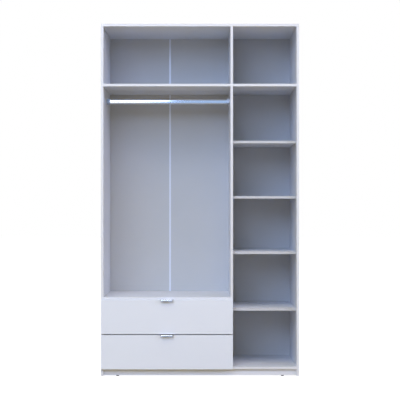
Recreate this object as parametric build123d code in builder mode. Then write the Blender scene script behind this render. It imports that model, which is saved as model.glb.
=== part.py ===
from build123d import *

import os

# Open wardrobe: a hanging space over two drawers on the left, shelves on the right and a hat shelf across the
# top. Millimetres. X runs to the right, Y to the back and Z up. The origin is the middle of the footprint, at
# floor level, and the footprint takes in the drawer pulls.

# ------------------------------------------------------------------ overall sizes
WIDTH = 1200.0  # over both side panels
SIDE_HEIGHT = 2132.0  # a side panel
CARCASS_DEPTH = 500.0  # a side panel with its edge band
LEFT_SECTION = 800.0  # outer left face to the right face of the divider

# ------------------------------------------------------------------ materials as bought
BOARD = 15.0  # melamine-faced chipboard
BAND = 1.0  # band on the front edges
BAND_GAP = 0.1  # at each end of a level band
SHEET = 3.0  # hardboard of the back and of the drawer bases

# ------------------------------------------------------------------ base
SIDE_LIFT = 2.5  # floor to the side panels
PLINTH_HEIGHT = 38.0
PLINTH_SETBACK = 16.0
GLIDE_HEIGHT = 5.0
GLIDE_R = 9.5
GLIDE_BEVEL = 1.0
GLIDE_INSET = 100.0  # outer side face to a glide's centre
GLIDE_NAIL_R = 1.2
GLIDE_NAIL = 16.0

# ------------------------------------------------------------------ shelves
TOP_BAY = 348.0  # clear height over the hat shelf
REAR_GAP = 2.0  # behind a fixed shelf, where the back's joint strip passes
SHELF_SETBACK = 40.0  # loose shelves behind the front edge
SHELF_PLAY = 1.0  # at each end of a loose shelf
SHELF_REAR_GAP = 4.0
SHELF_SHIFTS = (8.0, 10.0, 6.0, 0.0)  # each loose shelf from an even spacing, lowest first

# ------------------------------------------------------------------ back
SHEET_INSET = 1.0  # the back stops this far inside the outer faces
SHEET_JOINT_GAP = 1.0  # between two sheets on the divider's edge
STRIP_OFFSET = 405.0  # outer left face to the joint strip's centre
STRIP_WIDTH = 11.0
STRIP_WALL = 1.0
STRIP_PLAY = 0.1
STRIP_END_GAP = 1.0
NAIL_PITCH = 200.0
NAIL_MARGIN = 40.0  # corner of a sheet to its first nail
NAIL_R = 0.8
NAIL_LENGTH = 18.0
NAIL_HEAD_R = 1.8
NAIL_HEAD = 0.8
NAIL_OFFSET = 4.0  # middle of the divider to each row of nails

# ------------------------------------------------------------------ drawers
FRONT_HEIGHT = 207.5
FRONT_SPACING = 5.5  # between the two fronts
FRONT_RISE = 1.0  # lower front above the bottom panel's underside
COVER_OVERLAP = 1.0  # upper front over the cover board's edge
FRONT_REVEAL = 1.5  # fronts inside the faces that they cover
FRONT_GAP = 2.0  # between a front and the carcass
FRONT_RADIUS = 0.8
TRAVEL = 400.0  # how far a drawer comes out
BOX_RISE = 28.0  # front's lower edge to the box
BOX_DROP = 20.0  # box's upper edge below the front's
BOX_REAR_CLEARANCE = 50.0  # between a box and the back
BASE_RISE = 12.0  # box's lower edge to its base
GROOVE_DEPTH = 8.0
GROOVE_PLAY = 0.1
BASE_END_GAP = 0.5  # base's edge to the bottom of its groove

# ------------------------------------------------------------------ drawer pulls
PULL_WIDTH = 82.0
PULL_PROJECTION = 20.0  # in front of a drawer front
PULL_WALL = 1.6
PULL_LIP = 9.0
PULL_FLANGE = 18.0  # tail behind the front
PULL_NOSE_R = 4.0
PULL_BEND_R = 1.5
PULL_CORNER_R = 12.0
PULL_SCREW_SPACING = 48.0
PULL_SCREW_DROP = 9.0

# ------------------------------------------------------------------ ball-bearing runners
RUNNER_GAP = 12.7  # between a box and the wall beside it, filled by the runner
RUNNER_RISE = 50.0  # box's lower edge to the runner's middle
STEEL = 1.2
OUTER_HALF = 22.5  # half height of the member on the carcass
OUTER_REACH = 10.8  # how far it stands off the wall
MIDDLE_HALF = 16.0
MIDDLE_START = 2.2
MIDDLE_REACH = 10.4
INNER_HALF = 9.5  # half height of the member on the drawer
INNER_START = 4.6
BEND_R = 1.0
CAGE_STEEL = 0.4
OUTER_CAGE_START = 1.5
INNER_CAGE_START = 3.8
CAGE_REACH = 10.1
CAGE_SPARE = 61.0  # members' overlap with the drawer out, beyond a cage's length
BALL_R = 2.3
BALL_PLAY = 0.3
BALL_OFF_WALL = 6.9
BALLS_PER_ROW = 4
BALL_PITCH = 50.0
CABINET_SCREW_ENDS = (30.0, 50.0)  # front and rear end of the runner to its outermost screws
DRAWER_SCREW_ENDS = (60.0, 60.0)

# ------------------------------------------------------------------ hanging rail
RAIL_R = 7.5  # of its rounded upper and lower edges
RAIL_HEIGHT = 30.0
RAIL_RISE = RAIL_HEIGHT / 2 - RAIL_R  # middle to the centre of an edge's rounding
RAIL_WALL = 1.0
RAIL_DROP = 69.5  # hat shelf to the rail's middle
RAIL_END_GAP = 0.5
SOCKET_WALL = 3.0
SOCKET_BASE = 2.0
SOCKET_DEPTH = 18.0
SOCKET_PLAY = 0.1
SOCKET_SCREW_SPACING = 14.0

# ------------------------------------------------------------------ fasteners
PLAY = 0.1  # round a fastener in its hole
CONFIRMAT_HEAD_R = 5.0
CONFIRMAT_HEAD = 3.0
CONFIRMAT_R = 3.4
CONFIRMAT_LENGTH = 50.0
CONFIRMAT_SETBACK = 60.0  # front or back edge to the screw
KEY_R = 2.3  # hexagon socket in the head
KEY_DEPTH = 2.2
CAP_R = 6.5
CAP_THICKNESS = 0.5
CAP_STUB_R = 1.7
CAP_STUB = 1.8
DOWEL_R = 4.0
DOWEL_LENGTH = 30.0
DOWEL_IN_FACE = 11.0
DOWEL_SETBACK = 110.0
THROUGH_DOWEL = 60.0  # through the divider into both hat shelves
SCREW_HEAD_R = 3.5
SCREW_R = 1.6
SCREW_LENGTH = 15.0
PIN_R = 2.5
PIN_DEPTH = 8.0
PIN_TONGUE = 9.0
PIN_TONGUE_WIDTH = 8.0
PIN_TONGUE_HEIGHT = 2.5
PIN_SETBACK = 60.0  # loose shelf's edge to its pins
CAM_R = 7.5
CAM_LENGTH = 12.5
CAM_DISTANCE = 34.0  # front's rear face to the cam's centre
CAM_INSET = 34.0  # box's lower or upper edge to a cam's centre
BOLT_R = 3.0
BOLT_IN_FRONT = 11.0
BOLT_IN_CAM = 5.0
BOX_SCREW_INSET = 20.0  # runner or box's upper edge to a corner screw

# ------------------------------------------------------------------ places worked out from the sizes
REAR_TRIM = STRIP_WALL + STRIP_PLAY  # the joint strip stands behind the sheets
OVERALL_DEPTH = PULL_PROJECTION + BOARD + FRONT_GAP + CARCASS_DEPTH + SHEET + REAR_TRIM
FRONT_Y = -OVERALL_DEPTH / 2 + PULL_PROJECTION + BOARD + FRONT_GAP  # front plane of the carcass
BACK_Y = FRONT_Y + CARCASS_DEPTH
LEFT_OUT = -WIDTH / 2
LEFT_IN = LEFT_OUT + BOARD
RIGHT_OUT = WIDTH / 2
RIGHT_IN = RIGHT_OUT - BOARD
DIVIDER_RIGHT = LEFT_OUT + LEFT_SECTION
DIVIDER_LEFT = DIVIDER_RIGHT - BOARD
DIVIDER_X = (DIVIDER_LEFT + DIVIDER_RIGHT) / 2
BOTTOM_Z = GLIDE_HEIGHT + PLINTH_HEIGHT
FLOOR_Z = BOTTOM_Z + BOARD  # upper face of the bottom panel
DRAWERS = {
    "lower": BOTTOM_Z + FRONT_RISE,
    "upper": BOTTOM_Z + FRONT_RISE + FRONT_HEIGHT + FRONT_SPACING,
}
COVER_Z = DRAWERS["upper"] + FRONT_HEIGHT - COVER_OVERLAP
TOP_EDGE = SIDE_LIFT + SIDE_HEIGHT
TOP_Z = TOP_EDGE - BOARD
HAT_Z = TOP_Z - TOP_BAY - BOARD
RAIL_Z = HAT_Z - RAIL_DROP
RAIL_Y = (FRONT_Y + BACK_Y) / 2
FRONT_REAR_Y = FRONT_Y - FRONT_GAP  # rear face of a drawer front
FRONT_FACE_Y = FRONT_REAR_Y - BOARD
BOX_LEFT = LEFT_IN + RUNNER_GAP
BOX_RIGHT = DIVIDER_LEFT - RUNNER_GAP
BOX_REAR_Y = BACK_Y - BOX_REAR_CLEARANCE
BOX_HEIGHT = FRONT_HEIGHT - BOX_RISE - BOX_DROP
RUNNER_FRONT_Y = FRONT_Y + BAND
RUNNER_LENGTH = BOX_REAR_Y - RUNNER_FRONT_Y
CAGE_LENGTH = RUNNER_LENGTH - TRAVEL / 2 - CAGE_SPARE  # a middle member goes half the travel
PULL_X = (LEFT_OUT + DIVIDER_RIGHT) / 2
STRIP_X = LEFT_OUT + STRIP_OFFSET
BAY_PITCH = (HAT_Z - FLOOR_Z + BOARD) / (len(SHELF_SHIFTS) + 1)
SHELF_ZS = [FLOOR_Z + BAY_PITCH * (n + 1) - BOARD + shift for n, shift in enumerate(SHELF_SHIFTS)]
SHELF_FRONT_Y = FRONT_Y + SHELF_SETBACK
SHELF_REAR_Y = BACK_Y - SHELF_REAR_GAP
PLINTH_YS = {"front": FRONT_Y + PLINTH_SETBACK, "rear": BACK_Y - PLINTH_SETBACK - BOARD}
PLINTH_MIDDLE_YS = [y + BOARD / 2 for y in PLINTH_YS.values()]
GLIDE_XS = (LEFT_OUT + GLIDE_INSET, RIGHT_OUT - GLIDE_INSET)
SIDES = {"left": 1, "right": -1}  # the way from each wall into the drawer space

LEFTWARDS, RIGHTWARDS = (-1, 0, 0), (1, 0, 0)
FORWARDS, BACKWARDS = (0, -1, 0), (0, 1, 0)
UPWARDS, DOWNWARDS = (0, 0, 1), (0, 0, -1)
BELOW = (Align.CENTER, Align.CENTER, Align.MAX)  # hangs from its place, along local -Z
ABOVE = (Align.CENTER, Align.CENTER, Align.MIN)


# ------------------------------------------------------------------ helpers
def facing(point, normal):
    """A place on a face: local +Z leaves the material, so a fastener points along local -Z."""
    return Plane(origin=point, z_dir=normal).location


def places(xs, ys, zs, normal):
    """Every combination of the given coordinates, all facing one way."""
    return [facing((x, y, z), normal) for x in xs for y in ys for z in zs]


def slab(corner, opposite, mode=Mode.ADD):
    """A box between two opposite corners, given in any order."""
    low = tuple(min(a, b) for a, b in zip(corner, opposite))
    size = [abs(a - b) for a, b in zip(corner, opposite)]
    with Locations(low):
        Box(*size, align=(Align.MIN, Align.MIN, Align.MIN), mode=mode)


def bore(radius, depth):
    """A blind round hole, from its place along local -Z."""
    Cylinder(radius, depth, align=BELOW, mode=Mode.SUBTRACT)


def spread(start, end, pitch):
    """Evenly spaced values from start to end, about one pitch apart."""
    count = max(1, round((end - start) / pitch))
    return [start + (end - start) * n / count for n in range(count + 1)]


def save(block, label):
    """Labels a finished piece and writes its STEP file."""
    block.part.label = label
    export_step(block.part, f"parts/{label}.step")


# ------------------------------------------------------------------ fasteners, most of which also cut holes
def confirmat(play=0.0, mode=Mode.ADD):
    """A flat-headed chipboard screw, flush with the face that it enters."""
    Cylinder(CONFIRMAT_HEAD_R + play, CONFIRMAT_HEAD + play, align=BELOW, mode=mode)
    Cylinder(CONFIRMAT_R + play, CONFIRMAT_LENGTH + play, align=BELOW, mode=mode)


def wood_screw(play=0.0, mode=Mode.ADD):
    """A countersunk screw, flush with the face that it enters."""
    head = SCREW_HEAD_R - SCREW_R
    Cone(SCREW_R + play, SCREW_HEAD_R + play, head, align=BELOW, mode=mode)
    Cylinder(SCREW_R + play, SCREW_LENGTH + play, align=BELOW, mode=mode)


def confirmat_pilot():
    """A confirmat's hole in the end of the second of two boards."""
    bore(CONFIRMAT_R + PLAY, CONFIRMAT_LENGTH - BOARD + PLAY)


def dowel_bore(depth):
    """A blind hole for a dowel."""
    bore(DOWEL_R + PLAY, depth + PLAY)


def nail_bore():
    """A nail's hole, from the rear face of the back."""
    bore(NAIL_R + PLAY, NAIL_LENGTH + PLAY)


# ------------------------------------------------------------------ where the fasteners go
CONFIRMAT_YS = (FRONT_Y + CONFIRMAT_SETBACK, BACK_Y - CONFIRMAT_SETBACK)
DOWEL_YS = (FRONT_Y + DOWEL_SETBACK, BACK_Y - DOWEL_SETBACK)
PIN_YS = (SHELF_FRONT_Y + PIN_SETBACK, SHELF_REAR_Y - PIN_SETBACK)
PIN_ZS = [z - PIN_TONGUE_HEIGHT / 2 for z in SHELF_ZS]
LEFT_JOINT_ZS = [z + BOARD / 2 for z in (BOTTOM_Z, COVER_Z, HAT_Z, TOP_Z)]
RIGHT_JOINT_ZS = [z + BOARD / 2 for z in (BOTTOM_Z, HAT_Z, TOP_Z)]
COVER_JOINT_Z = COVER_Z + BOARD / 2
HAT_JOINT_Z = HAT_Z + BOARD / 2
PLINTH_SCREW_Z = GLIDE_HEIGHT + PLINTH_HEIGHT / 2
HAT_DOWEL = (THROUGH_DOWEL - BOARD) / 2  # a through dowel's depth in each hat shelf
DOWEL_IN_END = DOWEL_LENGTH - DOWEL_IN_FACE

left_side_screws = places([LEFT_OUT], CONFIRMAT_YS, LEFT_JOINT_ZS, LEFTWARDS)
left_side_screws += places([LEFT_OUT], PLINTH_MIDDLE_YS, [PLINTH_SCREW_Z], LEFTWARDS)
right_side_screws = places([RIGHT_OUT], CONFIRMAT_YS, RIGHT_JOINT_ZS, RIGHTWARDS)
right_side_screws += places([RIGHT_OUT], PLINTH_MIDDLE_YS, [PLINTH_SCREW_Z], RIGHTWARDS)
divider_screws = places([DIVIDER_RIGHT], CONFIRMAT_YS, [COVER_JOINT_Z], RIGHTWARDS)
top_screws = places([DIVIDER_X], CONFIRMAT_YS, [TOP_EDGE], UPWARDS)
bottom_screws = places([DIVIDER_X], CONFIRMAT_YS, [BOTTOM_Z], DOWNWARDS)

left_side_dowels = places([LEFT_IN], DOWEL_YS, LEFT_JOINT_ZS, RIGHTWARDS)
right_side_dowels = places([RIGHT_IN], DOWEL_YS, RIGHT_JOINT_ZS, LEFTWARDS)
divider_dowels = places([DIVIDER_LEFT], DOWEL_YS, [COVER_JOINT_Z], LEFTWARDS)
top_dowels = places([DIVIDER_X], DOWEL_YS, [TOP_Z], DOWNWARDS)
bottom_dowels = places([DIVIDER_X], DOWEL_YS, [FLOOR_Z], UPWARDS)

socket_screw_zs = (RAIL_Z - SOCKET_SCREW_SPACING / 2, RAIL_Z + SOCKET_SCREW_SPACING / 2)
left_socket_screws = places([LEFT_IN + SOCKET_BASE], [RAIL_Y], socket_screw_zs, RIGHTWARDS)
right_socket_screws = places([DIVIDER_LEFT - SOCKET_BASE], [RAIL_Y], socket_screw_zs, LEFTWARDS)


def runner_z(base):
    """Height of a runner's middle, for the drawer whose front starts at base."""
    return base + BOX_RISE + RUNNER_RISE


def screw_ys(ends):
    """Three screws along a runner, the outermost at the given distances from its ends."""
    first = RUNNER_FRONT_Y + ends[0]
    last = RUNNER_FRONT_Y + RUNNER_LENGTH - ends[1]
    return (first, (first + last) / 2, last)


runner_zs = [runner_z(base) for base in DRAWERS.values()]
left_runner_screws = places([LEFT_IN + STEEL], screw_ys(CABINET_SCREW_ENDS), runner_zs, RIGHTWARDS)
right_runner_screws = places([DIVIDER_LEFT - STEEL], screw_ys(CABINET_SCREW_ENDS), runner_zs, LEFTWARDS)

NAIL_Y = BACK_Y + SHEET
SHEET_LOW = BOTTOM_Z + SHEET_INSET
SHEET_HIGH = TOP_EDGE - SHEET_INSET
SHEET_SPANS = {
    "left": (LEFT_OUT + SHEET_INSET, STRIP_X - STRIP_WALL / 2 - STRIP_PLAY),
    "middle": (STRIP_X + STRIP_WALL / 2 + STRIP_PLAY, DIVIDER_X - SHEET_JOINT_GAP / 2),
    "right": (DIVIDER_X + SHEET_JOINT_GAP / 2, RIGHT_OUT - SHEET_INSET),
}
nail_zs = spread(SHEET_LOW + NAIL_MARGIN, SHEET_HIGH - NAIL_MARGIN, NAIL_PITCH)
left_side_nails = places([LEFT_OUT + BOARD / 2], [NAIL_Y], nail_zs, BACKWARDS)
right_side_nails = places([RIGHT_OUT - BOARD / 2], [NAIL_Y], nail_zs, BACKWARDS)
divider_nails = places([DIVIDER_X - NAIL_OFFSET, DIVIDER_X + NAIL_OFFSET], [NAIL_Y], nail_zs, BACKWARDS)
level_nail_xs = [
    x
    for low, high in SHEET_SPANS.values()
    for x in spread(low + NAIL_MARGIN, high - NAIL_MARGIN, NAIL_PITCH)
]
top_nails = places(level_nail_xs, [NAIL_Y], [TOP_Z + BOARD / 2], BACKWARDS)
bottom_nails = places(level_nail_xs, [NAIL_Y], [BOTTOM_Z + BOARD / 2], BACKWARDS)
all_nails = left_side_nails + right_side_nails + divider_nails + top_nails + bottom_nails

os.makedirs("parts", exist_ok=True)

# ------------------------------------------------------------------ upright boards
with BuildPart() as left_side_panel:
    slab((LEFT_OUT, FRONT_Y + BAND, SIDE_LIFT), (LEFT_IN, BACK_Y, TOP_EDGE))
    with Locations(*left_side_screws):
        confirmat(PLAY, Mode.SUBTRACT)
    with Locations(*left_side_dowels):
        dowel_bore(DOWEL_IN_FACE)
    with Locations(*left_socket_screws, *left_runner_screws):
        wood_screw(PLAY, Mode.SUBTRACT)
    with Locations(*left_side_nails):
        nail_bore()
save(left_side_panel, "left_side_panel")

with BuildPart() as right_side_panel:
    slab((RIGHT_IN, FRONT_Y + BAND, SIDE_LIFT), (RIGHT_OUT, BACK_Y, TOP_EDGE))
    with Locations(*right_side_screws):
        confirmat(PLAY, Mode.SUBTRACT)
    with Locations(*right_side_dowels):
        dowel_bore(DOWEL_IN_FACE)
    with Locations(*places([RIGHT_IN], PIN_YS, PIN_ZS, LEFTWARDS)):
        bore(PIN_R + PLAY, PIN_DEPTH + PLAY)
    with Locations(*right_side_nails):
        nail_bore()
save(right_side_panel, "right_side_panel")

with BuildPart() as divider_panel:
    slab((DIVIDER_LEFT, FRONT_Y + BAND, FLOOR_Z), (DIVIDER_RIGHT, BACK_Y, TOP_Z))
    with Locations(*divider_screws):
        confirmat(PLAY, Mode.SUBTRACT)
    with Locations(*divider_dowels):
        dowel_bore(DOWEL_IN_FACE)
    with Locations(*places([DIVIDER_RIGHT], DOWEL_YS, [HAT_JOINT_Z], RIGHTWARDS)):
        dowel_bore(BOARD)
    with Locations(*places([DIVIDER_X], DOWEL_YS, [TOP_Z], UPWARDS)):
        dowel_bore(DOWEL_IN_END)
    with Locations(*places([DIVIDER_X], DOWEL_YS, [FLOOR_Z], DOWNWARDS)):
        dowel_bore(DOWEL_IN_END)
    with Locations(*places([DIVIDER_X], CONFIRMAT_YS, [TOP_Z], UPWARDS)):
        confirmat_pilot()
    with Locations(*places([DIVIDER_X], CONFIRMAT_YS, [FLOOR_Z], DOWNWARDS)):
        confirmat_pilot()
    with Locations(*right_socket_screws, *right_runner_screws):
        wood_screw(PLAY, Mode.SUBTRACT)
    with Locations(*places([DIVIDER_RIGHT], PIN_YS, PIN_ZS, RIGHTWARDS)):
        bore(PIN_R + PLAY, PIN_DEPTH + PLAY)
    with Locations(*divider_nails):
        nail_bore()
save(divider_panel, "divider_panel")


# ------------------------------------------------------------------ level boards
def level_board(left, right, z, rear_gap=0.0):
    """A fixed level board, cut to length between two uprights."""
    slab((left, FRONT_Y + BAND, z), (right, BACK_Y - rear_gap, z + BOARD))


def end_bores(x, normal, z):
    """A screw's pilot and a dowel's hole, twice, in one end of a level board."""
    with Locations(*places([x], CONFIRMAT_YS, [z + BOARD / 2], normal)):
        confirmat_pilot()
    with Locations(*places([x], DOWEL_YS, [z + BOARD / 2], normal)):
        dowel_bore(DOWEL_IN_END)


with BuildPart() as top_panel:
    level_board(LEFT_IN, RIGHT_IN, TOP_Z)
    end_bores(LEFT_IN, LEFTWARDS, TOP_Z)
    end_bores(RIGHT_IN, RIGHTWARDS, TOP_Z)
    with Locations(*top_screws):
        confirmat(PLAY, Mode.SUBTRACT)
    with Locations(*top_dowels):
        dowel_bore(DOWEL_IN_FACE)
    with Locations(*top_nails):
        nail_bore()
save(top_panel, "top_panel")

with BuildPart() as bottom_panel:
    level_board(LEFT_IN, RIGHT_IN, BOTTOM_Z)
    end_bores(LEFT_IN, LEFTWARDS, BOTTOM_Z)
    end_bores(RIGHT_IN, RIGHTWARDS, BOTTOM_Z)
    with Locations(*bottom_screws):
        confirmat(PLAY, Mode.SUBTRACT)
    with Locations(*bottom_dowels):
        dowel_bore(DOWEL_IN_FACE)
    with Locations(*bottom_nails):
        nail_bore()
save(bottom_panel, "bottom_panel")

with BuildPart() as drawer_cover_board:
    level_board(LEFT_IN, DIVIDER_LEFT, COVER_Z, REAR_GAP)
    end_bores(LEFT_IN, LEFTWARDS, COVER_Z)
    end_bores(DIVIDER_LEFT, RIGHTWARDS, COVER_Z)
save(drawer_cover_board, "drawer_cover_board")

with BuildPart() as hat_shelf_left:
    level_board(LEFT_IN, DIVIDER_LEFT, HAT_Z, REAR_GAP)
    end_bores(LEFT_IN, LEFTWARDS, HAT_Z)
    with Locations(*places([DIVIDER_LEFT], DOWEL_YS, [HAT_JOINT_Z], RIGHTWARDS)):
        dowel_bore(HAT_DOWEL)
save(hat_shelf_left, "hat_shelf_left")

with BuildPart() as hat_shelf_right:
    level_board(DIVIDER_RIGHT, RIGHT_IN, HAT_Z, REAR_GAP)
    end_bores(RIGHT_IN, RIGHTWARDS, HAT_Z)
    with Locations(*places([DIVIDER_RIGHT], DOWEL_YS, [HAT_JOINT_Z], LEFTWARDS)):
        dowel_bore(HAT_DOWEL)
save(hat_shelf_right, "hat_shelf_right")

for place, plinth_y in PLINTH_YS.items():
    middle_y = plinth_y + BOARD / 2
    with BuildPart() as plinth:
        slab((LEFT_IN, plinth_y, GLIDE_HEIGHT), (RIGHT_IN, plinth_y + BOARD, BOTTOM_Z))
        with Locations(*places([LEFT_IN], [middle_y], [PLINTH_SCREW_Z], LEFTWARDS)):
            confirmat_pilot()
        with Locations(*places([RIGHT_IN], [middle_y], [PLINTH_SCREW_Z], RIGHTWARDS)):
            confirmat_pilot()
        with Locations(*places(GLIDE_XS, [middle_y], [GLIDE_HEIGHT], DOWNWARDS)):
            bore(GLIDE_NAIL_R + PLAY, GLIDE_NAIL + PLAY)
    save(plinth, f"{place}_plinth")

for number, shelf_z in enumerate(SHELF_ZS, start=1):
    with BuildPart() as loose_shelf:
        slab(
            (DIVIDER_RIGHT + SHELF_PLAY, SHELF_FRONT_Y + BAND, shelf_z),
            (RIGHT_IN - SHELF_PLAY, SHELF_REAR_Y, shelf_z + BOARD),
        )
    save(loose_shelf, f"loose_shelf_{number}")

with BuildPart() as upright_edge_bands:
    slab((LEFT_OUT, FRONT_Y, SIDE_LIFT), (LEFT_IN, FRONT_Y + BAND, TOP_EDGE))
    slab((RIGHT_IN, FRONT_Y, SIDE_LIFT), (RIGHT_OUT, FRONT_Y + BAND, TOP_EDGE))
    slab((DIVIDER_LEFT, FRONT_Y, FLOOR_Z), (DIVIDER_RIGHT, FRONT_Y + BAND, TOP_Z - BAND_GAP))
save(upright_edge_bands, "upright_edge_bands")

with BuildPart() as level_edge_bands:
    for left, right, z in (
        (LEFT_IN, RIGHT_IN, TOP_Z),
        (LEFT_IN, RIGHT_IN, BOTTOM_Z),
        (LEFT_IN, DIVIDER_LEFT, COVER_Z),
        (LEFT_IN, DIVIDER_LEFT, HAT_Z),
        (DIVIDER_RIGHT, RIGHT_IN, HAT_Z),
    ):
        high = z + BOARD - (BAND_GAP if z == BOTTOM_Z else 0)
        slab((left + BAND_GAP, FRONT_Y, z), (right - BAND_GAP, FRONT_Y + BAND, high))
save(level_edge_bands, "level_edge_bands")

with BuildPart() as shelf_edge_bands:
    for shelf_z in SHELF_ZS:
        slab(
            (DIVIDER_RIGHT + SHELF_PLAY, SHELF_FRONT_Y, shelf_z),
            (RIGHT_IN - SHELF_PLAY, SHELF_FRONT_Y + BAND, shelf_z + BOARD),
        )
save(shelf_edge_bands, "shelf_edge_bands")

# ------------------------------------------------------------------ back
for place, (low_x, high_x) in SHEET_SPANS.items():
    with BuildPart() as back_sheet:
        slab((low_x, BACK_Y, SHEET_LOW), (high_x, BACK_Y + SHEET, SHEET_HIGH))
        with Locations(*[nail for nail in all_nails if low_x < nail.position.X < high_x]):
            nail_bore()
    save(back_sheet, f"back_sheet_{place}")

with BuildPart() as back_joint_strip:
    with BuildSketch(Plane.XY.offset(FLOOR_Z + STRIP_END_GAP)):
        with Locations((STRIP_X, BACK_Y - STRIP_PLAY - STRIP_WALL / 2)):
            Rectangle(STRIP_WIDTH, STRIP_WALL)
        with Locations((STRIP_X, BACK_Y + SHEET + STRIP_PLAY + STRIP_WALL / 2)):
            Rectangle(STRIP_WIDTH, STRIP_WALL)
        with Locations((STRIP_X, BACK_Y + SHEET / 2)):
            Rectangle(STRIP_WALL, SHEET + 2 * STRIP_PLAY)
    extrude(amount=TOP_Z - FLOOR_Z - 2 * STRIP_END_GAP)
save(back_joint_strip, "back_joint_strip")

with BuildPart() as back_nails:
    with Locations(*all_nails):
        Cylinder(NAIL_R, NAIL_LENGTH, align=BELOW)
        Cylinder(NAIL_HEAD_R, NAIL_HEAD, align=ABOVE)
save(back_nails, "back_nails")

# ------------------------------------------------------------------ hanging rail
with BuildPart() as hanging_rail:
    rail_start = LEFT_IN + SOCKET_BASE + RAIL_END_GAP
    with BuildSketch(Plane(origin=(rail_start, RAIL_Y, RAIL_Z), x_dir=(0, 1, 0), z_dir=RIGHTWARDS)):
        SlotOverall(RAIL_HEIGHT, 2 * RAIL_R, rotation=90)
        SlotOverall(RAIL_HEIGHT - 2 * RAIL_WALL, 2 * (RAIL_R - RAIL_WALL), rotation=90, mode=Mode.SUBTRACT)
    extrude(amount=DIVIDER_LEFT - SOCKET_BASE - RAIL_END_GAP - rail_start)
save(hanging_rail, "hanging_rail")


def cradle(radius):
    """A slot that is open upwards: the outline of a socket or of the hollow in it."""
    wall_height = RAIL_RISE + RAIL_HEIGHT / 2 + SOCKET_PLAY + SOCKET_WALL
    with Locations((0, -RAIL_RISE)):
        Circle(radius)
    with Locations((0, wall_height / 2 - RAIL_RISE)):
        Rectangle(2 * radius, wall_height)


for (place, way), wall_x, screws in zip(
    SIDES.items(), (LEFT_IN, DIVIDER_LEFT), (left_socket_screws, right_socket_screws)
):
    socket_plane = Plane(origin=(wall_x, RAIL_Y, RAIL_Z), x_dir=(0, way, 0), z_dir=(way, 0, 0))
    with BuildPart() as rail_socket:
        with BuildSketch(socket_plane):
            cradle(RAIL_R + SOCKET_PLAY + SOCKET_WALL)
        extrude(amount=SOCKET_DEPTH)
        with BuildSketch(socket_plane.offset(SOCKET_BASE)):
            cradle(RAIL_R + SOCKET_PLAY)
        extrude(amount=SOCKET_DEPTH, mode=Mode.SUBTRACT)
        with Locations(*screws):
            wood_screw(PLAY, Mode.SUBTRACT)
    save(rail_socket, f"rail_socket_{place}")

# ------------------------------------------------------------------ fasteners of the carcass
with BuildPart() as carcass_screws:
    with Locations(*left_side_screws, *right_side_screws, *divider_screws, *top_screws, *bottom_screws):
        confirmat()
        bore(KEY_R, KEY_DEPTH)
save(carcass_screws, "carcass_screws")

with BuildPart() as screw_caps:
    with Locations(*left_side_screws, *right_side_screws, *divider_screws):
        Cylinder(CAP_R, CAP_THICKNESS, align=ABOVE)
        Cylinder(CAP_STUB_R, CAP_STUB, align=BELOW)
save(screw_caps, "screw_caps")

with BuildPart() as dowels:
    for dowel in left_side_dowels + right_side_dowels + divider_dowels + top_dowels + bottom_dowels:
        with Locations(dowel * Location((0, 0, DOWEL_IN_END))):
            Cylinder(DOWEL_R, DOWEL_LENGTH, align=BELOW)
    with Locations(*places([DIVIDER_RIGHT + HAT_DOWEL], DOWEL_YS, [HAT_JOINT_Z], RIGHTWARDS)):
        Cylinder(DOWEL_R, THROUGH_DOWEL, align=BELOW)
save(dowels, "dowels")

with BuildPart() as carcass_wood_screws:
    with Locations(*left_socket_screws, *right_socket_screws, *left_runner_screws, *right_runner_screws):
        wood_screw()
save(carcass_wood_screws, "carcass_wood_screws")

with BuildPart() as shelf_pins:
    for wall_x, normal, way in ((DIVIDER_RIGHT, RIGHTWARDS, 1), (RIGHT_IN, LEFTWARDS, -1)):
        with Locations(*places([wall_x], PIN_YS, PIN_ZS, normal)):
            Cylinder(PIN_R, PIN_DEPTH, align=BELOW)
        for pin_y in PIN_YS:
            for shelf_z in SHELF_ZS:
                slab(
                    (wall_x, pin_y - PIN_TONGUE_WIDTH / 2, shelf_z - PIN_TONGUE_HEIGHT),
                    (wall_x + way * PIN_TONGUE, pin_y + PIN_TONGUE_WIDTH / 2, shelf_z),
                )
save(shelf_pins, "shelf_pins")

with BuildPart() as glides:
    with Locations(*places(GLIDE_XS, PLINTH_MIDDLE_YS, [0], UPWARDS)):
        Cone(GLIDE_R - GLIDE_BEVEL, GLIDE_R, GLIDE_BEVEL, align=ABOVE)
    with Locations(*places(GLIDE_XS, PLINTH_MIDDLE_YS, [GLIDE_HEIGHT], UPWARDS)):
        Cylinder(GLIDE_R, GLIDE_HEIGHT - GLIDE_BEVEL, align=BELOW)
        Cylinder(GLIDE_NAIL_R, GLIDE_NAIL, align=ABOVE)
save(glides, "glides")


# ------------------------------------------------------------------ runners
def runner_plane(way, base, start=0.0):
    """Across a runner: local X leaves the wall, local Y is up. A negative way's normal points to the back."""
    wall_x = LEFT_IN if way > 0 else DIVIDER_LEFT
    origin = (wall_x, RUNNER_FRONT_Y + start, runner_z(base))
    return Plane(origin=origin, x_dir=(way, 0, 0), z_dir=(0, -way, 0))


def channel(way, base, start, reach, half, web_outside=True):
    """A steel channel along the runner, its web next to the wall or next to the drawer."""
    with BuildSketch(runner_plane(way, base)) as section:
        with Locations(((start + reach) / 2, 0)):
            Rectangle(reach - start, 2 * half)
        fillet(section.vertices().group_by(Axis.X)[0 if web_outside else -1], BEND_R)
        shift = STEEL if web_outside else -STEEL
        with Locations(((start + reach) / 2 + shift, 0)):
            Rectangle(reach - start, 2 * (half - STEEL), mode=Mode.SUBTRACT)
    extrude(section.sketch, amount=-way * RUNNER_LENGTH)


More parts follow.
